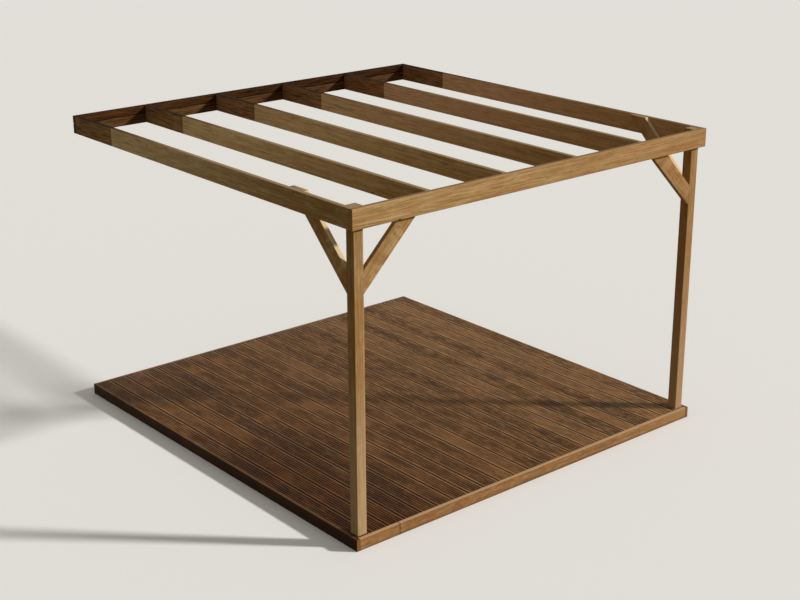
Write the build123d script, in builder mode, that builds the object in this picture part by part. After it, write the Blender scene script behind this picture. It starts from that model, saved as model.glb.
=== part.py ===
from build123d import *
import os
from math import ceil, sqrt

# Wooden lean-to pergola that stands on its own low timber deck and is held at the back by a ledger.
# The origin is on the ground under the middle of the plan. +X is right, +Y runs to the ledger, +Z is up.

os.makedirs("parts", exist_ok=True)

# Overall sizes
width = 3500
depth = 3645
headroom = 2205  # deck surface to the underside of the beam and rafters

# Frame timber
post = 80
timber = 38  # thickness of beam, rafters, ledger and braces
roof_height = 145  # height of beam and rafters
rafter_pitch = 702  # set out from the right end
ledger_lower = 78
ledger_gap = 3
brace_width = 115
brace_clearance = 3  # least gap between the end of a front brace and the next rafter
brace_reach = 459  # underside of the roof frame down to the lower edge of a brace at its post
front_brace_lap = 72  # how far a front brace laps up behind the beam
easing = 3  # radius of the planed edges

# Deck
deck_height = 90
fascia = 27
fascia_easing = 2
fascia_joint_at = 385  # butt joint in the front fascia, from the left end
joint_gap = 2
board_width = 145
board_thickness = 27
board_gap_aim = 7.5
board_easing = 2
groove_count = 5
groove_pitch = 22
groove_mouth = 8
groove_floor = 5
groove_depth = 3
joist = 45
joist_pitch_aim = 500

# Levels and faces worked out from the sizes
left = -width / 2
right = width / 2
front = -depth / 2
back = depth / 2
roof_bottom = deck_height + headroom
roof_top = roof_bottom + roof_height
beam_back = front + timber
ledger_front = back - timber
post_back = beam_back + post
post_inset = timber + post / 2
joist_top = deck_height - board_thickness


def save(piece, name):
    piece.part.label = name
    export_step(piece.part, f"parts/{name}.step")


def box_of(x0, x1, y0, y1, z0, z1):
    """Sizes and centre of the space between two corners."""
    sizes = (x1 - x0, y1 - y0, z1 - z0)
    centre = ((x0 + x1) / 2, (y0 + y1) / 2, (z0 + z1) / 2)
    return sizes, centre


def planed(name, along, corners, radius):
    """A planed length of timber whose four long edges are eased."""
    (sx, sy, sz), (cx, cy, cz) = box_of(*corners)
    if along == "x":
        plane = Plane(origin=(cx - sx / 2, cy, cz), x_dir=(0, 1, 0), z_dir=(1, 0, 0))
        across, height, length = sy, sz, sx
    elif along == "y":
        plane = Plane(origin=(cx, cy - sy / 2, cz), x_dir=(-1, 0, 0), z_dir=(0, 1, 0))
        across, height, length = sx, sz, sy
    else:
        plane = Plane(origin=(cx, cy, cz - sz / 2), x_dir=(1, 0, 0), z_dir=(0, 0, 1))
        across, height, length = sx, sy, sz
    with BuildPart() as piece:
        with BuildSketch(plane):
            RectangleRounded(across, height, radius)
        extrude(amount=length)
    save(piece, name)


# Posts, inside the corner that the beam and the end rafter make, up to the top of the roof frame
for side, centre in (("left", left + post_inset), ("right", right - post_inset)):
    planed(
        f"post_{side}",
        "z",
        (centre - post / 2, centre + post / 2, beam_back, post_back, deck_height, roof_top),
        easing,
    )

# Front beam, across the posts and over the ends of the rafters
planed("front_beam", "x", (left, right, front, beam_back, roof_bottom, roof_top), easing)

# Rafters on edge. The inner ones are set out from the right end, which leaves the first bay narrower.
right_end = right - timber / 2
left_end = left + timber / 2
shortest_bay = 0.3  # of a pitch
inner_rafters = ceil((right_end - left_end) / rafter_pitch - shortest_bay) - 1
inner_centres = [right_end - rafter_pitch * i for i in range(inner_rafters, 0, -1)]
rafter_names = ["rafter_left"] + [f"rafter_{i + 2}" for i in range(inner_rafters)] + ["rafter_right"]
for name, centre in zip(rafter_names, [left_end] + inner_centres + [right_end]):
    planed(
        name,
        "y",
        (centre - timber / 2, centre + timber / 2, beam_back, ledger_front, roof_bottom, roof_top),
        easing,
    )

# Ledger across the back ends of the rafters: two boards, one above the other, with a thin shadow gap
ledger_split = roof_bottom + ledger_lower
planed("wall_ledger_lower", "x", (left, right, ledger_front, back, roof_bottom, ledger_split), easing)
upper_from = ledger_split + ledger_gap
planed("wall_ledger_upper", "x", (left, right, ledger_front, back, upper_from, roof_top), easing)

# Knee braces at 45 degrees, cut plumb where they meet the post and level at the top
plumb_cut = brace_width * sqrt(2)
foot_level = roof_bottom - brace_reach


def knee_brace(name, plane, run_to, room):
    """A brace in a vertical plane whose x runs from the post's face and whose y is the level.
    Its top is cut plumb too where it would run past the room beside the post."""
    with BuildPart() as piece:
        with BuildSketch(plane):
            rise = run_to - foot_level
            with BuildLine():
                Polyline(
                    (0, foot_level),
                    (rise, run_to),
                    (rise - plumb_cut, run_to),
                    (0, foot_level + plumb_cut),
                    close=True,
                )
            make_face()
            with Locations((0, foot_level)):
                Rectangle(room, rise, align=(Align.MIN, Align.MIN), mode=Mode.INTERSECT)
        extrude(amount=timber)
        along = piece.edges().filter_by(lambda e: abs(abs(e.tangent_at(0).Z) - sqrt(0.5)) < 0.01)
        fillet(along, radius=easing)
    save(piece, name)


side_top = roof_top
front_top = roof_bottom + front_brace_lap
left_face = left + timber + post
right_face = right - timber - post
beside_rafter = timber / 2 + brace_clearance
knee_brace(
    "brace_front_left",
    Plane(origin=(left_face, beam_back + timber, 0), x_dir=(1, 0, 0), z_dir=(0, -1, 0)),
    front_top,
    inner_centres[0] - beside_rafter - left_face,
)
knee_brace(
    "brace_front_right",
    Plane(origin=(right_face, beam_back, 0), x_dir=(-1, 0, 0), z_dir=(0, 1, 0)),
    front_top,
    right_face - inner_centres[-1] - beside_rafter,
)
for side, inner_face in (("left", left + timber), ("right", right - 2 * timber)):
    knee_brace(
        f"brace_side_{side}",
        Plane(origin=(inner_face, post_back, 0), x_dir=(0, 1, 0), z_dir=(1, 0, 0)),
        side_top,
        ledger_front - post_back,
    )

# Fascias round the deck. The side ones run through and show their end grain at the front.
planed("fascia_left", "y", (left, left + fascia, front, back, 0, deck_height), fascia_easing)
planed("fascia_right", "y", (right - fascia, right, front, back, 0, deck_height), fascia_easing)
planed(
    "fascia_back",
    "x",
    (left + fascia, right - fascia, back - fascia, back, 0, deck_height),
    fascia_easing,
)
front_joint = left + fascia_joint_at
for side, x0, x1 in (
    ("left", left + fascia, front_joint - joint_gap / 2),
    ("right", front_joint + joint_gap / 2, right - fascia),
):
    planed(f"fascia_front_{side}", "x", (x0, x1, front, front + fascia, 0, deck_height), fascia_easing)

# Bearer under the feet of the posts and the front ends of the boards
bearer_back = post_back
planed(
    "front_bearer",
    "x",
    (left + fascia, right - fascia, front + fascia, bearer_back, 0, joist_top),
    fascia_easing,
)

# Joists, evenly spaced from the bearer to the back fascia
last_joist = back - fascia - joist / 2
joist_run = last_joist - bearer_back
joist_count = round(joist_run / joist_pitch_aim)
joist_pitch = joist_run / joist_count
with BuildPart() as joists:
    for i in range(1, joist_count + 1):
        joist_plane = Plane(
            origin=(left + fascia, bearer_back + i * joist_pitch, joist_top / 2),
            x_dir=(0, 1, 0),
            z_dir=(1, 0, 0),
        )
        with BuildSketch(joist_plane):
            RectangleRounded(joist, joist_top, fascia_easing)
    extrude(amount=width - 2 * fascia)
save(joists, "deck_joists")

# Deck boards, grooved along their length, with a plain margin at both edges
board_count = round((width + board_gap_aim) / (board_width + board_gap_aim))
board_gap = (width - board_count * board_width) / (board_count - 1)
board_front = front + fascia + joint_gap
board_back = back - fascia - joint_gap
first_groove = -(groove_count - 1) / 2 * groove_pitch
groove_centres = [first_groove + i * groove_pitch for i in range(groove_count)]


def deck_board(name, centre, x0, x1):
    """A grooved board about its centre line, ripped to the space between x0 and x1."""
    plane = Plane(origin=(centre, board_front, deck_height), x_dir=(-1, 0, 0), z_dir=(0, 1, 0))
    edge_a = centre - x1
    edge_b = centre - x0
    with BuildPart() as piece:
        with BuildSketch(plane):
            with Locations(((edge_a + edge_b) / 2, -board_thickness / 2)):
                RectangleRounded(edge_b - edge_a, board_thickness, board_easing)
            for groove in groove_centres:
                with BuildLine():
                    Polyline(
                        (groove - groove_mouth / 2, 0),
                        (groove - groove_floor / 2, -groove_depth),
                        (groove + groove_floor / 2, -groove_depth),
                        (groove + groove_mouth / 2, 0),
                        close=True,
                    )
                make_face(mode=Mode.SUBTRACT)
        extrude(amount=board_back - board_front)
    save(piece, name)


inside_left = left + fascia + joint_gap
inside_right = right - fascia - joint_gap
for i in range(board_count):
    board_left = left + i * (board_width + board_gap)
    deck_board(
        f"deck_board_{i + 1:02d}",
        board_left + board_width / 2,
        max(board_left, inside_left),
        min(board_left + board_width, inside_right),
    )

print("rafters", len(rafter_names), "boards", board_count, "gap", round(board_gap, 2), "joists", joist_count)
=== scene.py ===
# %% [markdown]
# # A lean-to pergola on a low timber deck
#
# The real object is a frame of planed and oiled softwood that stands on a deck of ribbed hardwood
# boards. Two posts and a beam carry the front, a ledger carries the back, and six rafters run
# between them. This lesson dresses it: every timber is modelled again with eased arrises, saw-cut
# ends and the faint waves that a planer leaves, every deck board gets its ribs, and all of it gets
# wood that is cut from a solid log, so that the grain runs along each piece and shows as rings at
# its ends.
#
# The first cell loads the fixed frame.

# %% Load the frame
import random
from math import radians, sqrt

import bpy
from mathutils import Matrix, Vector


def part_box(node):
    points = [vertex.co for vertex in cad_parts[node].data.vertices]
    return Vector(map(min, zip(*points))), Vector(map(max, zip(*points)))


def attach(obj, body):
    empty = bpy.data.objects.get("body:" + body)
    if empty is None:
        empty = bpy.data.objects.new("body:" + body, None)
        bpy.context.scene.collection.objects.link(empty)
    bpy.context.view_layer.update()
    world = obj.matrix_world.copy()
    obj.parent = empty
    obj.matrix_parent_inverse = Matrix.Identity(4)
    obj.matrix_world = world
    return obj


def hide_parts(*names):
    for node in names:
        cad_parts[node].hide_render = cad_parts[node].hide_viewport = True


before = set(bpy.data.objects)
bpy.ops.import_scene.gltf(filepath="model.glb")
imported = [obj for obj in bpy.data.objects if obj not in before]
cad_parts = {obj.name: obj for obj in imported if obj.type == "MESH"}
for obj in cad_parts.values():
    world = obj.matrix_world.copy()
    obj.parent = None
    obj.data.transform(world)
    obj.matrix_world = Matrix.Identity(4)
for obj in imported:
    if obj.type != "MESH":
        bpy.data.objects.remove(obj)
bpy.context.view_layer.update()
print("frame nodes:", len(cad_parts))

# %% [markdown]
# ## The camera
#
# The pergola is seen from above its front left corner. The view was worked out from the straight
# edges of the frame, whose real directions are known, so it is written as a place in metres, a lens
# and three angles: how far the camera is tilted up from straight down, a trace of roll, and its
# turn about the vertical.

# %% Camera
CAMERA_AT = (-7.271, -8.864, 5.003)
CAMERA_TILT, CAMERA_ROLL, CAMERA_TURN = 70.49, 0.203, -40.093
LENS = 66.26
SENSOR = 36
FAR_CLIP = 200

bpy.ops.object.select_all(action="DESELECT")
bpy.ops.object.camera_add(
    location=CAMERA_AT,
    rotation=(radians(CAMERA_TILT), radians(CAMERA_ROLL), radians(CAMERA_TURN)),
)
camera = bpy.context.object
camera.data.lens = LENS
camera.data.sensor_width = SENSOR
camera.data.clip_end = FAR_CLIP
bpy.context.scene.camera = camera
print("camera lens", LENS, "mm")

# %% [markdown]
# ## Words for writing nodes
#
# Wood needs long chains of nodes, and small helpers keep them readable. `node` adds one node and
# plugs values or other nodes' outputs into it, `calc` does one sum, and `blend` lays one colour
# over another. A mask is a number from 0 to 1 that says where something holds, and `both` says
# where two masks hold together.

# %% Helpers for nodes
def node(tree, kind, plugs=None, **settings):
    """Adds one node. plugs gives values or other nodes' outputs, by the input's name or number."""
    made = tree.nodes.new(kind)
    for name, value in settings.items():
        setattr(made, name, value)
    for name, value in (plugs or {}).items():
        if isinstance(value, bpy.types.NodeSocket):
            tree.links.new(value, made.inputs[name])
        else:
            made.inputs[name].default_value = value
    return made


def calc(tree, operation, *values):
    """One sum on numbers or outputs."""
    return node(tree, "ShaderNodeMath", dict(enumerate(values)), operation=operation).outputs[0]


def both(tree, mask, other):
    """A mask times another mask, or times a plain share."""
    return calc(tree, "MULTIPLY", mask, other)


def blend(tree, share, below, above, how="MIX"):
    """Lays one colour over another, by a share from 0 to 1."""
    plugs = {0: share, 6: below, 7: above}
    return node(tree, "ShaderNodeMix", plugs, data_type="RGBA", blend_type=how).outputs[2]


print("helpers: node, calc, both, blend")

# %% [markdown]
# ## Light
#
# A low soft key light from the front right leaves the left faces in shade, which makes the square
# timbers read as solid, and it grazes the deck, so that the ribs of the boards show. A sun lamp
# with some width does that evenly over the whole 3.6 metres, where an area lamp would fall off.
# The world fills the shade with a plain pale sky. Their strengths together light a face that is
# turned to the key at about the level at which its colour is written.
#
# The far sky looks pale to the camera and in reflections, but lights the object only as a dim sky
# would. Light Path tells the two kinds of ray apart.

# %% Light
KEY_STRENGTH = 3.7
KEY_SOFTNESS = 4
KEY_TILT, KEY_TURN = 65, 46
KEY_COLOUR = (1.0, 0.965, 0.915)
SKY_STRENGTH = 0.3
SKY_LIGHT = (1.0, 0.96, 0.83, 1)
SKY_SEEN = (0.75, 0.73, 0.68, 1)


def is_seen(tree):
    """1 for a ray that the camera or a reflection follows, and 0 for one that carries light."""
    ray = node(tree, "ShaderNodeLightPath").outputs
    seen = calc(tree, "MAXIMUM", ray["Is Camera Ray"], ray["Is Glossy Ray"])
    return calc(tree, "MAXIMUM", seen, ray["Is Transmission Ray"])


bpy.ops.object.light_add(type="SUN", rotation=(radians(KEY_TILT), 0, radians(KEY_TURN)))
key = bpy.context.object
key.name = "key_light"
key.data.energy = KEY_STRENGTH
key.data.angle = radians(KEY_SOFTNESS)
key.data.color = KEY_COLOUR

sky = bpy.data.worlds.new("pale sky")
sky.use_nodes = True
tree = sky.node_tree
lights = node(tree, "ShaderNodeBackground", {"Color": SKY_LIGHT, "Strength": SKY_STRENGTH})
shows = node(tree, "ShaderNodeBackground", {"Color": SKY_SEEN, "Strength": 1.0})
plugs = {0: is_seen(tree), 1: lights.outputs[0], 2: shows.outputs[0]}
either = node(tree, "ShaderNodeMixShader", plugs).outputs[0]
tree.links.new(either, tree.nodes["World Output"].inputs["Surface"])
bpy.context.scene.world = sky
bpy.context.scene.view_settings.view_transform = "Standard"
print("key", KEY_STRENGTH, "sky", SKY_STRENGTH)

# %% [markdown]
# ## Floor
#
# One plain plane, wide enough to meet the sky far off. It looks pale, but sends back only what a
# dull floor would, because so wide a pale floor would light every shaded face from below.

# %% Floor
FLOOR_REACH = 160
FLOOR_ROUGHNESS = 0.9
FLOOR_SEEN = (0.93, 0.94, 0.96, 1)
FLOOR_BOUNCE = (0.19, 0.16, 0.07, 1)

bpy.ops.mesh.primitive_plane_add(size=FLOOR_REACH, location=(0, 0, 0))
floor = bpy.context.object
floor.name = "floor"
plaster = bpy.data.materials.new("pale floor")
plaster.use_nodes = True
tree = plaster.node_tree
surface = tree.nodes["Principled BSDF"]
surface.inputs["Roughness"].default_value = FLOOR_ROUGHNESS
floor_colour = blend(tree, is_seen(tree), FLOOR_BOUNCE, FLOOR_SEEN)
tree.links.new(floor_colour, surface.inputs["Base Color"])
floor.data.materials.append(plaster)
print("floor", FLOOR_REACH, "m wide")

# %% [markdown]
# ## Words for patterns
#
# A pattern is worked out at a place and then turned into masks. `vector` does one sum on places,
# and `split` takes a place apart. `stretch` scales a place, so that a pattern comes out long along
# the timber and fine across it, and `noise` is the smooth noise that is read there. `fade` turns a
# range of numbers into a soft step. `new_group` packs nodes that many materials share into a group.

# %% Helpers for patterns
def vector(tree, operation, *values):
    """One sum on places or directions. A length or a dot product comes out as a number."""
    made = node(tree, "ShaderNodeVectorMath", dict(enumerate(values)), operation=operation)
    return made.outputs["Value" if operation in ("LENGTH", "DOT_PRODUCT") else "Vector"]


def split(tree, place):
    """The three numbers of a place."""
    return node(tree, "ShaderNodeSeparateXYZ", {0: place}).outputs


def stretch(tree, place, along, across):
    """A place scaled by one number along the timber and by another across it."""
    return vector(tree, "MULTIPLY", place, (along, across, across))


def noise(tree, place, detail=2.0, rough=0.5, output="Fac"):
    """Smooth noise of size one in a stretched place."""
    plugs = {"Vector": place, "Scale": 1.0, "Detail": detail, "Roughness": rough}
    return node(tree, "ShaderNodeTexNoise", plugs).outputs[output]


def fade(tree, value, start, end, low=0.0, high=1.0):
    """A soft step from low to high while value goes from start to end."""
    plugs = {"Value": value, "From Min": start, "From Max": end, "To Min": low, "To Max": high}
    ranged = node(tree, "ShaderNodeMapRange", plugs, interpolation_type="SMOOTHSTEP")
    return ranged.outputs["Result"]


def new_group(name, inputs, outputs):
    """A node group with its own inputs and outputs, given as (name, kind, value)."""
    tree = bpy.data.node_groups.new(name, "ShaderNodeTree")
    for label, kind, value in inputs:
        kind = "NodeSocket" + kind
        tree.interface.new_socket(label, in_out="INPUT", socket_type=kind).default_value = value
    for label, kind in outputs:
        tree.interface.new_socket(label, in_out="OUTPUT", socket_type="NodeSocket" + kind)
    return tree, node(tree, "NodeGroupInput").outputs, node(tree, "NodeGroupOutput")


print("helpers: vector, split, stretch, noise, fade, new_group")

# %% [markdown]
# ## Wood that is cut from a log
#
# A plank is a slice of a log. Its rings are long tubes about the pith, and a flat saw cut through
# them gives the pointed arches on its face and the arcs on its end. So the pattern is solid: each
# timber reads its own place along, across and through its length, moved off the pith by a different
# amount. One group makes rings, streaks, knots and checks as plain numbers, and each finish then
# turns the numbers into colours.

# %% The grain group
GRAIN_OUTPUTS = ("Rings", "Bands", "Streaks", "Lines", "Fibres", "Pores", "Knots", "Checks")

grain, given, result = new_group(
    "grain of a sawn timber",
    [("Place", "Vector", (0, 0, 0)), ("Pith", "Vector", (0, 0, 0))],
    [(name, "Float") for name in GRAIN_OUTPUTS],
)
place = vector(grain, "ADD", given["Place"], given["Pith"])
print("grain outputs:", len(GRAIN_OUTPUTS))

# %% [markdown]
# ## Knots
#
# A knot is the foot of a branch. A Voronoi texture on a long grid gives one point in each cell, and
# chance leaves some cells empty. The way to that point is turned back into metres, so that knots
# have a real size. A wider mask about each knot will push the rings out of its way.

# %% Knots
KNOT_EVERY = (0.55, 0.16)
KNOT_LONG = 1.5
KNOT_RADIUS = (0.006, 0.013)
KNOT_EDGE = (1.15, 0.75)
SWIRL_EDGE = (4.5, 0.6)
EMPTY_CELLS = 0.45

per_metre = (1 / KNOT_EVERY[0], 1 / KNOT_EVERY[1], 1 / KNOT_EVERY[1])
to_metres = (KNOT_EVERY[0] / KNOT_LONG, KNOT_EVERY[1], KNOT_EVERY[1])
cell = vector(grain, "MULTIPLY", place, per_metre)
branches = node(grain, "ShaderNodeTexVoronoi", {"Vector": cell, "Scale": 1.0}).outputs
from_knot = vector(grain, "SUBTRACT", cell, branches["Position"])
knot_distance = vector(grain, "LENGTH", vector(grain, "MULTIPLY", from_knot, to_metres))
chance = node(grain, "ShaderNodeSeparateColor", {0: branches["Color"]}).outputs
there = calc(grain, "GREATER_THAN", chance[0], EMPTY_CELLS)
knot_share = calc(grain, "DIVIDE", knot_distance, fade(grain, chance[1], 0.0, 1.0, *KNOT_RADIUS))
knots = both(grain, fade(grain, knot_share, *KNOT_EDGE), there)
swirl = both(grain, fade(grain, knot_share, *SWIRL_EDGE), there)
print("a knot in", round(100 * (1 - EMPTY_CELLS)), "of 100 cells")

# %% [markdown]
# ## Growth rings
#
# A ring is the distance from the pith line. The line leans and wanders a little, as in any log,
# and the distance grows where a knot is near. Each year starts pale and ends with a thin dark layer
# of late wood, and poor years have a fainter one.

# %% Growth rings
RING = 0.0075
LATE_WOOD = (0.25, 0.93)
YEAR_ENDS = (1.0, 0.95)
POOR_YEAR = 0.45
WANDER = 0.05
LEAN_ACROSS, LEAN_THROUGH = 0.014, 0.009
BULGE = 0.011

wander = noise(grain, stretch(grain, place, 0.9, 4.0), output="Color")
wander = vector(grain, "SUBTRACT", wander, (0.5, 0.5, 0.5))
wander = vector(grain, "MULTIPLY", wander, (0.0, WANDER, WANDER))
x, y, z = split(grain, vector(grain, "ADD", place, wander))
across_pith = calc(grain, "MULTIPLY_ADD", x, LEAN_ACROSS, y)
through_pith = calc(grain, "MULTIPLY_ADD", x, LEAN_THROUGH, z)
through_squared = calc(grain, "POWER", through_pith, 2.0)
squares = calc(grain, "MULTIPLY_ADD", across_pith, across_pith, through_squared)
radius = calc(grain, "MULTIPLY_ADD", swirl, BULGE, calc(grain, "SQRT", squares))
turns = calc(grain, "DIVIDE", radius, RING)
year = calc(grain, "FRACT", turns)
late_wood = both(grain, fade(grain, year, *LATE_WOOD), fade(grain, year, *YEAR_ENDS))
each_year = node(grain, "ShaderNodeCombineXYZ", {0: turns}).outputs[0]
good_years = noise(grain, stretch(grain, each_year, 0.35, 0.0))
rings = both(grain, late_wood, fade(grain, good_years, 0.25, 0.75, POOR_YEAR, 1.0))
print("rings every", 1000 * RING, "mm")

# %% [markdown]
# ## Streaks, fibres and drying checks
#
# The tone along the grain goes from broad bands to single fibres, each a noise that is stretched
# more than the last. A drying check is a thin crack: the line where a slow noise crosses its
# middle, broken up along the timber by a second noise.

# %% Streaks, fibres and checks
CHECK_WIDTH = 0.003
HAIRLINE = 0.00001

bands = noise(grain, stretch(grain, place, 0.6, 11.0), 2.0)
streaks = noise(grain, stretch(grain, place, 1.1, 60.0), 4.0, 0.6)
lines = noise(grain, stretch(grain, place, 6.0, 130.0), 3.0, 0.65)
fibres = noise(grain, stretch(grain, place, 9.0, 520.0), 2.0, 0.6)
pores = fade(grain, noise(grain, stretch(grain, place, 45.0, 900.0), 1.0), 0.63, 0.72)

ridge = noise(grain, stretch(grain, place, 0.75, 15.0), 1.0)
off_ridge = calc(grain, "ABSOLUTE", calc(grain, "SUBTRACT", ridge, 0.5))
dry_part = fade(grain, noise(grain, stretch(grain, place, 1.7, 6.0), 1.0), 0.62, 0.7)
check_width = calc(grain, "MULTIPLY_ADD", dry_part, CHECK_WIDTH, HAIRLINE)
in_check = fade(grain, calc(grain, "DIVIDE", off_ridge, check_width), 1.0, 0.4)
checks = both(grain, in_check, dry_part)

patterns = (rings, bands, streaks, lines, fibres, pores, knots, checks)
for name, value in zip(GRAIN_OUTPUTS, patterns):
    grain.links.new(value, result.inputs[name])
print("grain group:", len(grain.nodes), "nodes")

# %% [markdown]
# ## Masks that every finish shares
#
# Edges and ends need no painting by hand. The place in the timber's own directions says how near a
# point is to an arris or to the end, and the face's normal says whether it is end grain or faces
# the sky. `start_finish` makes a group with the grain and these masks in it, and with four coarser
# noises for mottled wood.

# %% Masks of a finish
TIMBER_INPUTS = [
    ("Place", "Vector", (0, 0, 0)), ("Pith", "Vector", (0, 0, 0)), ("Axis", "Vector", (1, 0, 0)),
    ("Half Across", "Float", 0.02), ("Half Through", "Float", 0.07), ("Half Along", "Float", 1.0),
    ("Tone", "Float", 0.0), ("Bleach", "Float", 0.85), ("Lamella", "Float", 0.0),
    ("Ribbed", "Float", 0.0), ("Figure", "Float", 0.0), ("Fresh", "Float", 0.0),
]
TIMBER_OUTPUTS = [("Color", "Color"), ("Roughness", "Float"), ("Normal", "Vector")]
END_GRAIN = (0.6, 0.8)
FACES_UP = (0.45, 0.7)
LIES_FLAT = (0.75, 0.95)
NEAR_END = (0.007, 0.001)
NEAR_ARRIS = 0.006
MOTTLES = {  # per metre along and across, detail, roughness
    "patches": (6.0, 16.0, 4.0, 0.65),
    "blotches": (2.6, 4.5, 5.0, 0.62),
    "specks": (9.0, 48.0, 4.0, 0.62),
    "figure": (13.0, 6.0, 2.0, 0.5),
}


def start_finish(name):
    """A finish group with the grain in it, and the masks that every finish of this object uses."""
    tree, given, result = new_group(name, TIMBER_INPUTS, TIMBER_OUTPUTS)
    plugs = {"Place": given["Place"], "Pith": given["Pith"]}
    cut = node(tree, "ShaderNodeGroup", plugs, node_tree=grain).outputs
    own = split(tree, given["Place"])
    facing = node(tree, "ShaderNodeNewGeometry").outputs["Normal"]
    along = vector(tree, "DOT_PRODUCT", facing, given["Axis"])
    rise = split(tree, facing)[2]
    from_end = calc(tree, "SUBTRACT", given["Half Along"], calc(tree, "ABSOLUTE", own[0]))
    near = []
    for side, half in ((1, "Half Across"), (2, "Half Through")):
        inside = calc(tree, "SUBTRACT", given[half], calc(tree, "ABSOLUTE", own[side]))
        near.append(fade(tree, inside, NEAR_ARRIS, 0.0))
    masks = {
        "own": own,
        "world": split(tree, node(tree, "ShaderNodeTexCoord").outputs["Object"]),
        "end": fade(tree, calc(tree, "ABSOLUTE", along), *END_GRAIN),
        "up": fade(tree, rise, *FACES_UP),
        "flat": fade(tree, rise, *LIES_FLAT),
        "near end": fade(tree, from_end, *NEAR_END),
        "arris": both(tree, *near),
    }
    in_log = vector(tree, "ADD", given["Place"], given["Pith"])
    for label, (per_long, per_wide, detail, rough) in MOTTLES.items():
        masks[label] = noise(tree, stretch(tree, in_log, per_long, per_wide), detail, rough)
    return tree, given, result, cut, masks


print("inputs of a finish:", len(TIMBER_INPUTS))

# %% [markdown]
# ## Layers of a finish
#
# Colours are written as the eye sees them, in hex, and `paint` turns them into the linear numbers
# that the shader works with. `tones` spreads the streaks over a few browns, and `coat` then lays
# more colours on, one over the other, each where its mask says so. `relief` adds the patterns up to
# a height for the bump. Each finish below is then a list of such layers.

# %% Helpers for layers
def paint(code):
    """A colour seen as hex, as linear numbers."""
    seen = [int(code[i:i + 2], 16) / 255 for i in (0, 2, 4)]
    return (*[c / 12.92 if c <= 0.04045 else ((c + 0.055) / 1.055) ** 2.4 for c in seen], 1)


def tones(tree, value, *stops):
    """A colour ramp from (position, colour) stops."""
    ramp = node(tree, "ShaderNodeValToRGB", {0: value})
    spare = ramp.color_ramp.elements
    spare[0].position, spare[0].color = stops[0][0], paint(stops[0][1])
    spare[1].position, spare[1].color = stops[-1][0], paint(stops[-1][1])
    for position, code in stops[1:-1]:
        spare.new(position).color = paint(code)
    return ramp.outputs["Color"]


def coat(tree, colour, *layers):
    """Lays colours on. A layer is a mask, its share, a colour, and how, if it isn't just mixed."""
    for mask, share, code, *how in layers:
        colour = blend(tree, both(tree, mask, share), colour, paint(code), *how)
    return colour


def outside(tree, mask):
    """Where a mask doesn't hold."""
    return calc(tree, "SUBTRACT", 1.0, mask)


def relief(tree, *parts):
    """A height from (pattern, share) pairs. A share below 0 sinks."""
    height = both(tree, *parts[0])
    for pattern, share in parts[1:]:
        height = calc(tree, "MULTIPLY_ADD", pattern, share, height)
    return height


def end_finish(tree, result, colour, shine, height, depth):
    """Plugs in colour, roughness and a height, where 1 stands for a real depth in metres."""
    tree.links.new(colour, result.inputs["Color"])
    tree.links.new(shine, result.inputs["Roughness"])
    bump = node(tree, "ShaderNodeBump", {"Height": height, "Distance": depth, "Strength": 1.0})
    tree.links.new(bump.outputs[0], result.inputs["Normal"])
    print(tree.name + ":", len(tree.nodes), "nodes")
    return tree


print("the brown a18155 is", [round(part, 3) for part in paint("a18155")])

# %% [markdown]
# ## The oiled frame timber
#
# Posts, beam, rafters, ledger and braces are one kind of timber: warm straw brown with redder and
# paler streaks. First comes the wood itself, from its broad tones down to its pores.

# %% Frame finish: the wood
tree, given, result, cut, masks = start_finish("oiled frame timber")
streaks = calc(tree, "ADD", cut["Streaks"], given["Tone"])
colour = tones(tree, streaks, (0.27, "7f6139"), (0.5, "a18155"), (0.73, "bf9e73"))
colour = coat(
    tree, colour,
    (fade(tree, cut["Bands"], 0.5, 0.72), 0.35, "906032"),
    (cut["Rings"], 0.4, "744a24"),
    (fade(tree, cut["Lines"], 0.53, 0.66), 0.52, "754a24"),
    (fade(tree, cut["Lines"], 0.47, 0.34), 0.42, "c8a87c"),
    (fade(tree, masks["patches"], 0.52, 0.68), 0.4, "a06834"),
    (fade(tree, masks["patches"], 0.48, 0.34), 0.35, "c1a076"),
    (fade(tree, cut["Fibres"], 0.4, 0.7), 0.25, "c2a06e"),
    (cut["Pores"], 0.4, "5c3a1c"),
)
print("wood of the frame:", len(tree.nodes), "nodes")

# %% [markdown]
# ## What was done to the timber
#
# The braces are cut from wilder wood, with soft bands across the grain. The posts are glued up from
# three lamellas of slightly different tone with a dark line at each joint, and their feet are
# painted paler: painted bounce light, as if from the ground. Arrises are rubbed a little paler, and
# saw-cut ends have drunk more oil and show the rings.

# %% Frame finish: bands, lamellas, knots and ends
LAMELLA_WIDTH = 0.0267
GLUE_LINE = 0.05
GROUND_BOUNCE_FROM, GROUND_BOUNCE_FULL = 1.6, 0.3

pale_band = fade(tree, masks["figure"], 0.5, 0.64)
red_band = fade(tree, masks["figure"], 0.5, 0.36)
lamellas = calc(tree, "ADD", calc(tree, "DIVIDE", masks["own"][2], LAMELLA_WIDTH), 0.5)
plugs = {"W": calc(tree, "FLOOR", lamellas)}
lamella_tone = node(tree, "ShaderNodeTexWhiteNoise", plugs, noise_dimensions="1D").outputs["Value"]
glue_line = fade(tree, calc(tree, "PINGPONG", lamellas, 0.5), GLUE_LINE, 0.0)
ground_bounce_light = fade(tree, masks["world"][2], GROUND_BOUNCE_FROM, GROUND_BOUNCE_FULL)
colour = coat(
    tree, colour,
    (both(tree, pale_band, given["Figure"]), 0.45, "c0a274"),
    (both(tree, red_band, given["Figure"]), 0.5, "8f6036"),
    (both(tree, lamella_tone, given["Lamella"]), 0.34, "8b6338"),
    (both(tree, glue_line, given["Lamella"]), 0.5, "65431f"),
    # painted bounce light: the posts paler towards their feet
    (both(tree, ground_bounce_light, given["Lamella"]), 0.35, "c9b394"),
    (cut["Knots"], 0.75, "6a3a18"),
    (masks["arris"], 0.2, "cbae82"),
    (masks["end"], 0.8, "8f693b"),
    (both(tree, masks["end"], cut["Rings"]), 0.6, "5b3a1c"),
)
print("lamellas of", 1000 * LAMELLA_WIDTH, "mm")
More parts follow.
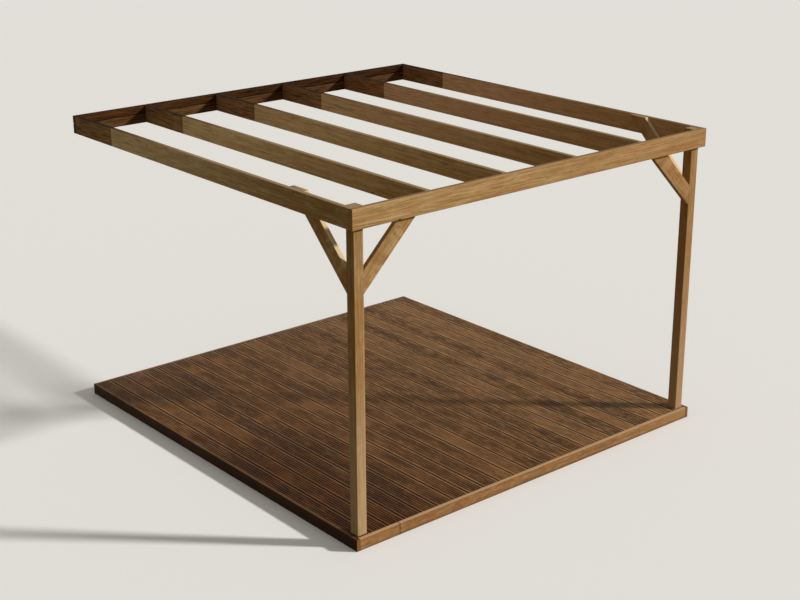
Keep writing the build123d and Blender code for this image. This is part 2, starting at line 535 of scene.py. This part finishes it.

# %% [markdown]
# ## Tone over the whole frame
#
# The frame gets a little redder to the right, and its upright faces are painted paler away from the
# front, streaked along the grain: painted bounce light from behind. These layers read the place in
# the world, so neighbours agree.

# %% Frame finish: from the left to the right and to the back
to_right, to_back, _ = masks["world"]
upright = outside(tree, masks["flat"])
# painted bounce light: upright faces paler towards the back, with the grain's streaks in it
painted_back_light = both(tree, fade(tree, to_back, -1.6, 1.1), upright)
redder = both(tree, fade(tree, to_right, -1.0, 1.2), fade(tree, to_back, -1.6, 0.3))
dark_streaks = both(tree, painted_back_light, fade(tree, cut["Lines"], 0.46, 0.68))
pale_streaks = both(tree, painted_back_light, fade(tree, cut["Lines"], 0.5, 0.32))
colour = coat(
    tree, colour,
    (fade(tree, to_right, -1.0, 1.8), 0.3, "96653e"),
    (painted_back_light, 1.0, "a6906f", "SCREEN"),
    (redder, 1.0, "f8e7ee", "MULTIPLY"),
    (dark_streaks, 0.5, "84603a"),
    (pale_streaks, 0.35, "dcc8a2"),
)
print("frame tones:", len(tree.nodes), "nodes")

# %% [markdown]
# ## Weather and a painted shadow
#
# What faces the sky has bleached to a dull straw grey, and towards the back the bleach fades and
# the tops are painted darker, as painted shade. The last 0.6 metres before the ledger carry a
# painted shadow with a crisp, slightly ragged edge: dark red brown wood, darker on the tops and
# close to the ledger, streaked along the grain. The ledger itself is painted just as dark, as
# painted shadow, with grain lines and arrises that are painted nearly black, and one input says how
# much of that a timber has.

# %% Frame finish: weather and painted shadow
SHADOW_EDGE_AT = 1.212
SHADOW_BLUR = 0.008
SHADOW_RAGGED = 0.012
BLEACH_FADES = (1.15, 0.2)
PLANED_RELIEF = 0.0005

# painted shadow: a crisp, ragged edge across the rafters, 0.6 metres before the ledger
shadow_edge = calc(tree, "MULTIPLY_ADD", cut["Streaks"], SHADOW_RAGGED, to_back)
outside_shadow = fade(tree, shadow_edge, SHADOW_EDGE_AT + SHADOW_BLUR, SHADOW_EDGE_AT)
# painted shade: the bleach fades towards the back
bleached = both(tree, fade(tree, to_back, *BLEACH_FADES), outside_shadow)
bleached = both(tree, bleached, given["Bleach"])
dulled = both(tree, masks["flat"], outside(tree, given["Bleach"]))
# painted shade: tops darker towards the back
shaded_tops = both(tree, fade(tree, to_back, -0.1, 1.0), masks["up"])
painted_shadow = outside(tree, outside_shadow)
shadow_streaks = both(tree, painted_shadow, fade(tree, cut["Lines"], 0.42, 0.66))
# within the ledger's painted shadow: redder to the left, and near black grain lines
shaded_ledger_left = both(tree, fade(tree, to_right, 0.2, -1.5), given["Fresh"])
shaded_ledger_lines = both(tree, fade(tree, cut["Lines"], 0.5, 0.62), given["Fresh"])
colour = coat(
    tree, colour,
    (dulled, 1.0, "aea6a0", "MULTIPLY"),
    (both(tree, bleached, masks["up"]), 1.0, "dfc79c"),
    (both(tree, bleached, masks["flat"]), 1.0, "8d755b"),
    (shaded_tops, 0.95, "8c7a66", "MULTIPLY"),
    (cut["Checks"], 0.8, "3a2513"),
    # painted shadow: darker wood beyond the edge, darker still on the tops and close to the ledger
    (painted_shadow, 1.0, "bca898", "MULTIPLY"),
    (both(tree, painted_shadow, masks["up"]), 1.0, "a0804c", "MULTIPLY"),
    (shadow_streaks, 0.6, "907860", "MULTIPLY"),
    (fade(tree, to_back, 1.25, 1.7), 0.22, "8c7864", "MULTIPLY"),
    # painted shadow: the ledger boards darkened as a whole, their arrises near black as painted
    # shade
    (given["Fresh"], 1.0, "80745c", "MULTIPLY"),
    (shaded_ledger_left, 0.17, "7c4a22"),
    (shaded_ledger_lines, 0.6, "1d0f06"),
    (both(tree, masks["arris"], given["Fresh"]), 0.9, "120903"),
)
shine = fade(tree, cut["Streaks"], 0.3, 0.7, 0.66, 0.52)
shine = calc(tree, "MULTIPLY_ADD", cut["Checks"], 0.3, shine)
height = relief(
    tree, (cut["Rings"], 0.35), (cut["Fibres"], 0.35), (cut["Checks"], -2.0), (cut["Pores"], -0.4)
)
frame_finish = end_finish(tree, result, colour, shine, height, PLANED_RELIEF)

# %% [markdown]
# ## The oiled deck boards
#
# The boards are dark oiled hardwood. Golden blotches as wide as a board show where the oil has
# worn, and near black ones where it stands thick. No blotch runs on into the next board, so they
# follow the board's own place, and smaller patches and specks break them up.

# %% Deck finish: the wood
tree, given, result, cut, masks = start_finish("oiled decking")
streaks = calc(tree, "ADD", cut["Streaks"], given["Tone"])
colour = tones(tree, streaks, (0.27, "3c2111"), (0.5, "5c3920"), (0.73, "805834"))
colour = coat(
    tree, colour,
    (fade(tree, cut["Bands"], 0.45, 0.75), 0.4, "6a391c"),
    (cut["Rings"], 0.3, "38210f"),
    (fade(tree, cut["Lines"], 0.52, 0.7), 0.4, "3a2311"),
    (fade(tree, masks["blotches"], 0.48, 0.66), 0.55, "986c44"),
    (fade(tree, masks["blotches"], 0.52, 0.35), 0.75, "32190b"),
    (fade(tree, masks["patches"], 0.49, 0.67), 0.36, "996e46"),
    (fade(tree, masks["patches"], 0.5, 0.33), 0.45, "2c170b"),
    (fade(tree, masks["specks"], 0.5, 0.7), 0.4, "a87d56"),
    (fade(tree, cut["Fibres"], 0.4, 0.75), 0.22, "8d6640"),
    (cut["Pores"], 0.45, "20120a"),
)
print("wood of the deck:", len(tree.nodes), "nodes")

# %% [markdown]
# ## Ribs, grooves and gaps
#
# Soles have rubbed the ribs and the plain margins of each board, and the margins also carry a
# painted highlight. The grooves and gaps are painted dark: painted shade. There the colour follows
# the depth below the deck and the way to the board's edge. The side fascias are of the same wood
# with no ribs, so for them Ribbed is 0: their top is a little worn and their outer face is an even
# dark brown, partly soil and partly painted shade.

# %% Deck finish: depths
DECK_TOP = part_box("deck_board_02")[1].z
RUB_DEPTH = 0.0008
GROOVE_SHADE_DEPTH = 0.0026
GAP_SHADE_DEPTH = 0.006
GAP_EDGE = (0.005, 0.0018)
MARGIN_EDGE = (0.016, 0.011)

to_right, to_back, height_above = masks["world"]
depth = calc(tree, "SUBTRACT", DECK_TOP, height_above)
inside = calc(tree, "SUBTRACT", given["Half Across"], calc(tree, "ABSOLUTE", masks["own"][1]))
rubbed = both(tree, fade(tree, depth, RUB_DEPTH, 0.0), given["Ribbed"])
# painted shade: grooves darker with depth
in_groove = both(tree, fade(tree, depth, RUB_DEPTH, GROOVE_SHADE_DEPTH), given["Ribbed"])
# painted shade: gaps near black, by depth and near the board's edge
deep = fade(tree, depth, GROOVE_SHADE_DEPTH, GAP_SHADE_DEPTH)
in_gap = calc(tree, "MAXIMUM", fade(tree, inside, *GAP_EDGE), deep)
in_gap = both(tree, in_gap, given["Ribbed"])
# partly rub, partly a painted highlight along the board edges
margin = both(tree, fade(tree, inside, *MARGIN_EDGE), given["Ribbed"])
ribless = outside(tree, given["Ribbed"])
# partly soil, partly painted shade on the side fascias' outer faces
soiled_and_shaded = both(tree, ribless, outside(tree, masks["up"]))
colour = coat(
    tree, colour,
    (margin, 0.25, "b08c64"),
    (rubbed, 0.15, "a97d50"),
    (in_groove, 0.5, "22140b"),
)
print("deck top at", round(DECK_TOP, 4), "m")

# %% [markdown]
# ## Wear and painted sheen over the whole deck
#
# To the right the boards are paler, partly from wear and partly as a painted sheen: the pale ones
# are lighter there, and all are speckled gold and dark. The front left corner is painted the
# darkest, as painted shade. The gaps, the side fascias and the saw-cut ends come last, over all of
# that.

# %% Deck finish: wear and painted sheen
# partly wear, partly a painted sheen: paler and speckled towards the right
wear_and_sheen = both(tree, fade(tree, to_right, -1.2, 1.6), outside(tree, soiled_and_shaded))
paler_with_sheen = both(tree, wear_and_sheen, fade(tree, given["Tone"], -0.08, 0.24))
# painted shade: the front left corner darker
painted_dark_corner = both(tree, fade(tree, to_right, -0.5, -1.6), fade(tree, to_back, 0.9, -0.6))
colour = coat(
    tree, colour,
    (paler_with_sheen, 0.3, "a8845c"),
    (both(tree, fade(tree, masks["specks"], 0.5, 0.62), wear_and_sheen), 0.3, "bc9262"),
    (both(tree, fade(tree, masks["specks"], 0.5, 0.38), wear_and_sheen), 0.25, "2f1b0d"),
    (both(tree, fade(tree, cut["Lines"], 0.52, 0.62), wear_and_sheen), 0.4, "c09668"),
    (painted_dark_corner, 0.75, "9e7c58", "MULTIPLY"),
    (in_gap, 0.95, "180d06"),
    (both(tree, ribless, masks["up"]), 0.22, "9a7650"),
    (soiled_and_shaded, 0.55, "543420"),
    (soiled_and_shaded, 0.52, "1b1109"),
    (masks["end"], 0.8, "906339"),
    (both(tree, masks["end"], cut["Rings"]), 0.5, "633a1c"),
)
shine = fade(tree, masks["patches"], 0.35, 0.65, 0.34, 0.52)
shine = calc(tree, "MULTIPLY_ADD", in_groove, 0.3, shine)
height = relief(tree, (cut["Rings"], 0.3), (cut["Fibres"], 0.4), (cut["Pores"], -0.5))
deck_finish = end_finish(tree, result, colour, shine, height, PLANED_RELIEF)

# %% [markdown]
# ## The front fascia
#
# The front fascia gets the most sun and shoe soles. Its face is orange brown, mottled with paler
# and redder spots, its top arris is rubbed to cream, and splashed water has darkened its foot.
# Where two lengths butt, dirt has crept into the end grain and draws a dark line.

# %% Fascia finish
WET_FOOT = (0.045, 0.012)

tree, given, result, cut, masks = start_finish("oiled fascia")
to_right, _, height_above = masks["world"]
wet = calc(tree, "MULTIPLY_ADD", cut["Bands"], 0.03, height_above)
streaks = calc(tree, "ADD", cut["Streaks"], given["Tone"])
colour = tones(tree, streaks, (0.28, "664428"), (0.5, "815d3b"), (0.72, "9e7a50"))
colour = coat(
    tree, colour,
    (fade(tree, cut["Bands"], 0.5, 0.72), 0.4, "8f572a"),
    (cut["Rings"], 0.35, "613a1b"),
    (fade(tree, cut["Lines"], 0.52, 0.7), 0.45, "5f3a1c"),
    (fade(tree, masks["specks"], 0.46, 0.63), 0.65, "a3703e"),
    (fade(tree, masks["specks"], 0.52, 0.36), 0.52, "b08f66"),
    (fade(tree, masks["patches"], 0.52, 0.66), 0.35, "5e3a1e"),
    (fade(tree, cut["Fibres"], 0.4, 0.7), 0.2, "b38c5a"),
    (cut["Pores"], 0.4, "44260f"),
    (cut["Knots"], 0.7, "532c13"),
    (masks["end"], 0.8, "9a6232"),
    (masks["arris"], 0.4, "cba97c"),
    (fade(tree, to_right, 0.5, 1.75), 0.3, "b78d60"),
    (masks["up"], given["Bleach"], "ba9d7b"),
    (fade(tree, wet, *WET_FOOT), 0.4, "54402c"),
    (masks["near end"], 0.45, "35200f"),
)
shine = fade(tree, cut["Streaks"], 0.3, 0.7, 0.64, 0.5)
height = relief(tree, (cut["Rings"], 0.35), (cut["Fibres"], 0.35))
fascia_finish = end_finish(tree, result, colour, shine, height, PLANED_RELIEF)

# %% [markdown]
# ## Bearer and joists
#
# What carries the boards is rough sawn and unfinished. The saw has left fine ridges across the
# grain, which are noise stretched the other way: short along the timber and long across it.

# %% Joist finish
SAWN_RELIEF = 0.0009

tree, given, result, cut, masks = start_finish("rough sawn joist")
sawn = noise(tree, stretch(tree, given["Place"], 260.0, 9.0), 1.0)
colour = tones(tree, cut["Streaks"], (0.25, "6f5434"), (0.75, "9b7c54"))
colour = coat(
    tree, colour,
    (cut["Rings"], 0.4, "59401f"),
    (fade(tree, sawn, 0.5, 0.7), 0.25, "a98c66"),
    (cut["Knots"], 0.8, "3d2410"),
    (cut["Checks"], 0.8, "2a1a0c"),
)
shine = fade(tree, cut["Streaks"], 0.3, 0.7, 0.9, 0.78)
height = relief(tree, (cut["Fibres"], 0.5), (sawn, 0.8), (cut["Checks"], -1.5))
joist_finish = end_finish(tree, result, colour, shine, height, SAWN_RELIEF)

# %% [markdown]
# ## One material for each timber
#
# Two rafters side by side never have the same grain. So each timber has a material of its own, and
# all that differs is where it was cut: a Mapping node puts the pattern at the timber's centre and
# turns it along the timber, and the pith lies a different way off. The draws come from one seeded
# source, so every run agrees. How much a finish mirrors is the same all over it, so that number is
# set on the shader itself.

# %% Materials
draws = random.Random(7)
PITH_NEAR, PITH_FAR = 0.03, 0.11
FAR_APART = 40
GLOSS = {frame_finish: 0.025, deck_finish: 0.047, fascia_finish: 0.105, joist_finish: 0.05}
SHADER_INPUTS = {"Color": "Base Color", "Roughness": "Roughness", "Normal": "Normal"}


def turned_along(way, side):
    """The turn that lays x along way and y along side."""
    return Matrix((way, side, way.cross(side))).transposed().to_euler()


def cut_from_log(name, finish, centre, way, side, size, tone=0.0, **more):
    """A material for one timber along way. size is its width along side, its depth, its length."""
    material = bpy.data.materials.new(name)
    material.use_nodes = True
    tree = material.node_tree
    where = node(tree, "ShaderNodeTexCoord").outputs["Object"]
    plugs = {"Vector": where, "Location": centre, "Rotation": turned_along(way, side)}
    own_place = node(tree, "ShaderNodeMapping", plugs, vector_type="TEXTURE").outputs[0]
    pith = Vector((
        draws.uniform(-FAR_APART, FAR_APART),
        draws.choice((-1, 1)) * draws.uniform(PITH_NEAR, PITH_FAR),
        draws.choice((-1, 1)) * draws.uniform(PITH_NEAR, PITH_FAR),
    ))
    plugs = {"Place": own_place, "Pith": pith, "Axis": way, "Tone": tone, **more}
    for label, length in zip(("Half Across", "Half Through", "Half Along"), size):
        plugs[label] = length / 2
    made = node(tree, "ShaderNodeGroup", plugs, node_tree=finish).outputs
    surface = tree.nodes["Principled BSDF"].inputs
    surface["Specular IOR Level"].default_value = GLOSS[finish]
    for output, target in SHADER_INPUTS.items():
        tree.links.new(made[output], surface[target])
    return material


print("finishes:", ", ".join(finish.name for finish in GLOSS))

# %% [markdown]
# ## Hand tools
#
# The same few moves make every timber. `only` clears the selection, because an operator acts on all
# that is selected. `blank` adds a cube at a piece's size and place and applies both, so that the
# object stays at the origin. `pick` goes into edit mode with just those edges or faces selected
# that pass a test.

# %% Helpers for modelling
def only(*pieces):
    """Selects these objects and nothing else, and makes the first one active."""
    bpy.ops.object.select_all(action="DESELECT")
    for piece in pieces:
        piece.select_set(True)
    bpy.context.view_layer.objects.active = pieces[0]


def blank(name, centre, size, turn=(0, 0, 0)):
    """A cube added at its size and place, with both applied."""
    bpy.ops.object.select_all(action="DESELECT")
    bpy.ops.mesh.primitive_cube_add(size=1, location=centre, rotation=turn, scale=size)
    piece = bpy.context.object
    piece.name = name
    bpy.ops.object.transform_apply(location=True, rotation=True, scale=True)
    return piece


def done():
    """Leaves edit mode."""
    bpy.ops.object.mode_set(mode="OBJECT")


def clear(piece, kind):
    """Sets edit mode to edges or faces, and leaves none of them selected."""
    only(piece)
    bpy.ops.object.mode_set(mode="EDIT")
    bpy.ops.mesh.select_mode(type=kind)
    bpy.ops.mesh.select_all(action="DESELECT")
    done()


def pick(piece, kind, test):
    """Goes into edit mode with those edges or faces whose middle and direction pass a test."""
    clear(piece, kind)
    if kind == "EDGE":
        corners = piece.data.vertices
        for edge in piece.data.edges:
            start, end = (corners[i].co for i in edge.vertices)
            edge.select = test((start + end) / 2, end - start)
    else:
        for face in piece.data.polygons:
            face.select = test(face.center, face.normal)
    bpy.ops.object.mode_set(mode="EDIT")


def pick_all(piece):
    """Goes into edit mode with everything selected."""
    only(piece)
    bpy.ops.object.mode_set(mode="EDIT")
    bpy.ops.mesh.select_all(action="SELECT")


print("helpers: only, blank, done, clear, pick, pick_all")

# %% [markdown]
# ## Eased edges
#
# The four arrises of a planed timber are eased, so that they don't splinter, and its ends are sawn
# and only just dulled. A Bevel modifier would round every edge alike, so the long edges are picked
# by their direction and bevelled first. The end faces are then the only ones with more than four
# corners, and their rims get a much smaller bevel.

# %% Eased edges
EASING = 0.003
END_EASING = 0.0008
NEARLY_PARALLEL = 0.01


def lies_along(way, longer_than=0.0):
    """A test for edges that run along a direction and are longer than a length."""
    def test(middle, run):
        return run.length > longer_than and run.normalized().cross(way).length < NEARLY_PARALLEL
    return test


def ease(piece, way, easing=EASING):
    """Bevels the long edges, and then just dulls the ends."""
    pick(piece, "EDGE", lies_along(way))
    bpy.ops.mesh.bevel(offset=easing, segments=3, affect="EDGES")
    done()
    ends = [face for face in piece.data.polygons if len(face.vertices) > 4]
    rims = {key for face in ends for key in face.edge_keys}
    clear(piece, "EDGE")
    for edge in piece.data.edges:
        edge.select = edge.key in rims
    bpy.ops.object.mode_set(mode="EDIT")
    bpy.ops.mesh.bevel(offset=END_EASING, segments=1, affect="EDGES")
    done()


print("arrises eased by", 1000 * EASING, "mm")

# %% [markdown]
# ## Planer waves
#
# The faces of a timber carry waves of a few tenths of a millimetre from the planer and from drying.
# Subdivided faces give a Displace modifier points to move. With its middle at 1 it only ever sinks
# the faces, so that no timber grows past its real size.

# %% Planer waves
WAVE_LENGTH = 0.11
WAVE_DEPTH = 0.0007
CUT_ALONG = 0.075
CUT_ACROSS = 0.028
SMOOTH_BELOW = 40

planer_waves = bpy.data.textures.new("planer waves", "CLOUDS")
planer_waves.noise_scale = WAVE_LENGTH
planer_waves.noise_depth = 1


def apply_modifier(piece, kind, **settings):
    """Adds a modifier, sets it and applies it."""
    only(piece)
    bpy.ops.object.modifier_add(type=kind)
    modifier = piece.modifiers[-1]
    for name, value in settings.items():
        setattr(modifier, name, value)
    bpy.ops.object.modifier_apply(modifier=modifier.name)


def cut_up(piece, way, length, widths):
    """Divides the faces across and along, so that the waves have points to move."""
    for across, width in widths:
        cuts = round(width / CUT_ACROSS) - 1
        if cuts > 0:
            pick(piece, "EDGE", lies_along(across, width / 2))
            bpy.ops.mesh.subdivide(number_cuts=cuts)
            done()
    pick(piece, "EDGE", lies_along(way, length / 2))
    bpy.ops.mesh.subdivide(number_cuts=round(length / CUT_ALONG) - 1)
    done()


def wave(piece, depth=WAVE_DEPTH):
    """Sinks the faces in long soft waves, and shades them smooth between sharp edges."""
    apply_modifier(piece, "DISPLACE", texture=planer_waves, mid_level=1.0, strength=depth)
    only(piece)
    bpy.ops.object.shade_smooth_by_angle(angle=radians(SMOOTH_BELOW))


print("waves up to", 1000 * WAVE_DEPTH, "mm deep")

# %% [markdown]
# ## Planed timber
#
# With these moves one function makes any straight timber in the place of its node: a blank, eased,
# cut up and waved, with its own material. The node's box gives the size, and only the direction of
# the grain has to be said.

# %% Planed timber
AXES = {"x": Vector((1, 0, 0)), "y": Vector((0, 1, 0)), "z": Vector((0, 0, 1))}
ACROSS = {"x": AXES["y"], "y": -AXES["x"], "z": AXES["y"]}


def fit(piece, material, slot, *nodes):
    """Gives a finished piece its material and its body, and hides the nodes that it stands for. The
    slot is not used.
    """
    piece.data.materials.append(material)
    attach(piece, "root")
    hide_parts(*nodes)


def planed_timber(name, along, finish, slot, easing=EASING, depth=WAVE_DEPTH, tone=0.0, **more):
    """A planed timber in the place of a node."""
    low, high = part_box(name)
    size, centre = high - low, (low + high) / 2
    way, side = AXES[along], ACROSS[along]
    through = way.cross(side)
    width, height, length = (abs(size.dot(v)) for v in (side, through, way))
    piece = blank(name + "_timber", centre, size)
    ease(piece, way, easing)
    cut_up(piece, way, length, ((side, width), (through, height)))
    wave(piece, depth)
    sizes = (width, height, length)
    fit(piece, cut_from_log(name, finish, centre, way, side, sizes, tone, **more), slot, name)


print("helpers: fit, planed_timber")

# %% [markdown]
# ## Posts, beam, rafters and ledger
#
# The two posts are glued up from three lamellas, which show as upright bands. All the others are
# single timbers. Each takes its length and place from its node, so loops make them. The left rafter
# is painted darker than the rest, as painted shade, and the inner rafters lighter, as painted
# bounce light, and the tops of the beam and of the right rafter have hardly bleached. Both ledger
# boards carry the painted shadow, the lower one a little less dark.

# %% The frame
TONE_SPREAD = 0.06
POST_TONE, BEAM_TONE = -0.03, 0.02
# painted shade on the outer left rafter, and painted bounce light on the inner ones
OUTER_SHADE_TONE, INNER_BOUNCE_TONE = -0.17, 0.08
BEAM_BLEACH, RIGHT_BLEACH, OPEN_BLEACH = 0.12, 0.1, 0.85
# each ledger board's share of the painted shadow, and its tone
LEDGERS = (("wall_ledger_lower", 0.76, 0.06), ("wall_ledger_upper", 1.0, -0.08))


def spread():
    """A small difference in tone between one timber and the next."""
    return draws.uniform(-TONE_SPREAD, TONE_SPREAD)


for name in ("post_left", "post_right"):
    planed_timber(name, "z", frame_finish, "frame_timber", tone=POST_TONE, Lamella=1.0)
look = {"tone": BEAM_TONE, "Bleach": BEAM_BLEACH}
planed_timber("front_beam", "x", frame_finish, "frame_timber", **look)
rafters = sorted(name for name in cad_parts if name.startswith("rafter_"))
for name in rafters:
    tone = (OUTER_SHADE_TONE if name == "rafter_left" else INNER_BOUNCE_TONE) + spread()
    bleach = RIGHT_BLEACH if name == "rafter_right" else OPEN_BLEACH
    planed_timber(name, "y", frame_finish, "frame_timber", tone=tone, Bleach=bleach)
for name, ledger_shade, shift in LEDGERS:
    planed_timber(name, "x", frame_finish, "frame_timber", tone=shift + spread(), Fresh=ledger_shade)
print("frame timbers:", 3 + len(rafters) + len(LEDGERS))

# %% [markdown]
# ## Knee braces
#
# A brace stiffens the corner between a post and what it carries. It is a length of timber laid at
# 45 degrees, sawn plumb where it meets the post and level at its top. It is made in that order: a
# long blank is added already turned, and two bisect cuts take off what the saw would. The top of
# the left one behind the beam is left unbleached, so darker than the others: painted shade.

# %% Braces
BRACE_WIDTH = 0.115
# painted shade: this brace's top is left unbleached, so darker
SHADED_BRACE = "brace_front_left"
SHADED_BLEACH = 0.1
BRACE_TONE = -0.05
BRACES = {
    "brace_front_left": AXES["x"],
    "brace_front_right": -AXES["x"],
    "brace_side_left": AXES["y"],
    "brace_side_right": AXES["y"],
}


def brace(name, run):
    """A brace that rises at 45 degrees along run, cut to the box of its node."""
    low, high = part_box(name)
    up = AXES["z"]
    way = (run + up).normalized()
    over = (up - run).normalized()
    side = over.cross(way)
    foot = Vector([low[i] if run[i] > 0 else high[i] for i in range(3)])
    thick = abs((high - low).dot(side))
    rise = high.z - low.z
    length = rise * sqrt(2)
    centre = (low + high) / 2 + over * BRACE_WIDTH / 2
    size = (length + 2 * BRACE_WIDTH, thick, BRACE_WIDTH)
    piece = blank(name + "_timber", centre, size, turned_along(way, side))
    pick_all(piece)
    bpy.ops.mesh.bisect(plane_co=foot, plane_no=run, use_fill=True, clear_inner=True)
    bpy.ops.mesh.select_all(action="SELECT")
    bpy.ops.mesh.bisect(plane_co=high, plane_no=up, use_fill=True, clear_outer=True)
    done()
    ease(piece, way)
    pick(piece, "EDGE", lies_along(way, rise / 2))
    bpy.ops.mesh.subdivide(number_cuts=round(rise / CUT_ALONG))
    done()
    wave(piece)
    look = {
        "tone": BRACE_TONE + spread(),
        "Figure": 1.0,
        "Bleach": SHADED_BLEACH if name == SHADED_BRACE else OPEN_BLEACH,
    }
    sizes = (thick, BRACE_WIDTH, length + BRACE_WIDTH)
    material = cut_from_log(name, frame_finish, centre, way, side, sizes, **look)
    fit(piece, material, "frame_timber", name)


for name, run in BRACES.items():
    brace(name, run)
print("braces:", len(BRACES))

# %% [markdown]
# ## The model board
#
# Ribbed decking is planed with grooves along it, so that a foot finds hold when it is wet. One full
# board is modelled: its arrises are bevelled, the two lips and the floor of each groove are marked
# with bisect cuts, and the strips between the floor's marks are pushed down. That leaves sloping
# sides, as the planer's knives do. A Bevel modifier then takes the sharpness off every lip.

# %% The model board
GROOVES = 5
GROOVE_PITCH = 0.022
GROOVE_MOUTH = 0.008
GROOVE_FLOOR = 0.005
GROOVE_DEPTH = 0.003
LIP_EASING = 0.0007
LIP_ANGLE = 38
LEVEL = 0.9
BOARD_EASING = 0.002
BOARD_CUT = 0.15
MODEL_BOARD, NEXT_BOARD = "deck_board_02", "deck_board_03"
MODEL_NUMBER = 2

low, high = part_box(MODEL_BOARD)
board_size, board_centre = high - low, (low + high) / 2
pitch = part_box(NEXT_BOARD)[0].x - low.x
model_board = blank("model_board", board_centre, board_size)
pick(model_board, "EDGE", lies_along(AXES["y"]))
bpy.ops.mesh.bevel(offset=BOARD_EASING, segments=3, affect="EDGES")
groove_lines = [board_centre.x + (i - (GROOVES - 1) / 2) * GROOVE_PITCH for i in range(GROOVES)]
for line in groove_lines:
    for off in (-GROOVE_MOUTH / 2, -GROOVE_FLOOR / 2, GROOVE_FLOOR / 2, GROOVE_MOUTH / 2):
        bpy.ops.mesh.select_all(action="SELECT")
        bpy.ops.mesh.bisect(plane_co=(line + off, 0, 0), plane_no=(1, 0, 0))
done()


def is_groove_floor(middle, normal):
    """True for the top faces between the marks of a groove's floor."""
    off = min(abs(middle.x - line) for line in groove_lines)
    return normal.z > LEVEL and off < GROOVE_FLOOR / 4


pick(model_board, "FACE", is_groove_floor)
bpy.ops.transform.translate(value=(0, 0, -GROOVE_DEPTH))
done()
lips = {"limit_method": "ANGLE", "angle_limit": radians(LIP_ANGLE)}
apply_modifier(model_board, "BEVEL", width=LIP_EASING, segments=2, **lips)
pick(model_board, "EDGE", lies_along(AXES["y"], board_size.y / 2))
bpy.ops.mesh.subdivide(number_cuts=round(board_size.y / BOARD_CUT))
done()
print("model board:", len(model_board.data.polygons), "faces")

# %% [markdown]
# ## Deck boards
#
# The boards are copies of the model board, each with its own mesh, tone and grain, and the first
# and the last are ripped narrower beside the side fascias. Neighbours differ plainly in tone, and
# all get lighter to the right, partly as wear and partly as a painted sheen.

# %% Deck boards
BOARD_WAVE = 0.0005
BOARD_TONES = 0.2
# partly wear, partly a painted sheen: boards lighter towards the right
SHEEN_AND_WEAR_TO_RIGHT = 0.12
SAME_WIDTH = 0.001

board_names = sorted(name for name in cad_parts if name.startswith("deck_board_"))


def lay_board(name, number):
    """A copy of the model board in the place of a node, ripped to the node's width."""
    low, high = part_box(name)
    only(model_board)
    bpy.ops.object.duplicate()
    piece = bpy.context.object
    piece.name = name + "_ribbed"
    shift = (number - MODEL_NUMBER) * pitch
    pick_all(piece)
    bpy.ops.transform.translate(value=(shift, 0, 0))
    if high.x - low.x < board_size.x - SAME_WIDTH:
        first = number == 1
        rip = {"use_fill": True, "clear_inner": first, "clear_outer": not first}
        bpy.ops.mesh.bisect(plane_co=low if first else high, plane_no=(1, 0, 0), **rip)
    done()
    wave(piece, BOARD_WAVE)
    centre = Vector((board_centre.x + shift, board_centre.y, board_centre.z))
    size = (board_size.x, board_size.z, board_size.y)
    worn_and_sheen = SHEEN_AND_WEAR_TO_RIGHT * (2 * number / len(board_names) - 1)
    tone = draws.uniform(-BOARD_TONES, BOARD_TONES) + worn_and_sheen
    way, side = AXES["y"], ACROSS["y"]
    material = cut_from_log(name, deck_finish, centre, way, side, size, tone, Ribbed=1.0)
    fit(piece, material, "deck_timber", name)


for number, name in enumerate(board_names, start=1):
    lay_board(name, number)
bpy.data.objects.remove(model_board)
print("deck boards:", len(board_names))

# %% [markdown]
# ## Fascias and bearer
#
# Planed fascias close the deck's edge, and the side ones show their end grain at the front. They
# are straight timbers like those of the frame, with a smaller easing and shallower waves. The
# bearer behind the front fascia is made the same way, only rougher.

# %% Fascias and bearer
DECK_EASING = 0.002
FASCIA_WAVE = 0.0004
SAWN_WAVE = 0.0012
FASCIA_TONES = 0.05
SIDE_WOOD = (deck_finish, "deck_timber", -0.12)
FRONT_WOOD = (fascia_finish, "fascia_timber", 0)

for name, along, (finish, slot, shift) in (
    ("fascia_left", "y", SIDE_WOOD),
    ("fascia_right", "y", SIDE_WOOD),
    ("fascia_back", "x", SIDE_WOOD),
    ("fascia_front_left", "x", FRONT_WOOD),
    ("fascia_front_right", "x", FRONT_WOOD),
):
    tone = draws.uniform(-FASCIA_TONES, FASCIA_TONES) + shift
    planed_timber(name, along, finish, slot, DECK_EASING, FASCIA_WAVE, tone)
planed_timber("front_bearer", "x", joist_finish, "joist_timber", DECK_EASING, SAWN_WAVE)
print("fascias: 5, bearer: 1")

# %% [markdown]
# ## Joists
#
# The seven joists are one node, so seven lengths are made, each with its own waves, and joined into
# one piece. Where each starts is read from the corners of the node.

# %% Joists
JOIST_WIDTH = 0.045
JOIST_APART = 0.1

low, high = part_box("deck_joists")
size = Vector((high.x - low.x, JOIST_WIDTH, high.z - low.z))
corners = sorted({round(v.co.y, 4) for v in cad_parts["deck_joists"].data.vertices})
starts = [y for i, y in enumerate(corners) if i == 0 or y - corners[i - 1] > JOIST_APART]
joists = []
for start in starts:
    centre = Vector(((low.x + high.x) / 2, start + JOIST_WIDTH / 2, (low.z + high.z) / 2))
    joist = blank("joist", centre, size)
    ease(joist, AXES["x"], DECK_EASING)
    cut_up(joist, AXES["x"], size.x, ((AXES["y"], size.y), (AXES["z"], size.z)))
    wave(joist, SAWN_WAVE)
    joists.append(joist)
only(*joists)
bpy.ops.object.join()
joists[0].name = "deck_joists_timber"
sizes = (high.y - low.y, high.z - low.z, high.x - low.x)
material = cut_from_log("joists", joist_finish, (low + high) / 2, AXES["x"], AXES["y"], sizes)
fit(joists[0], material, "joist_timber", "deck_joists")
print("joists:", len(starts))
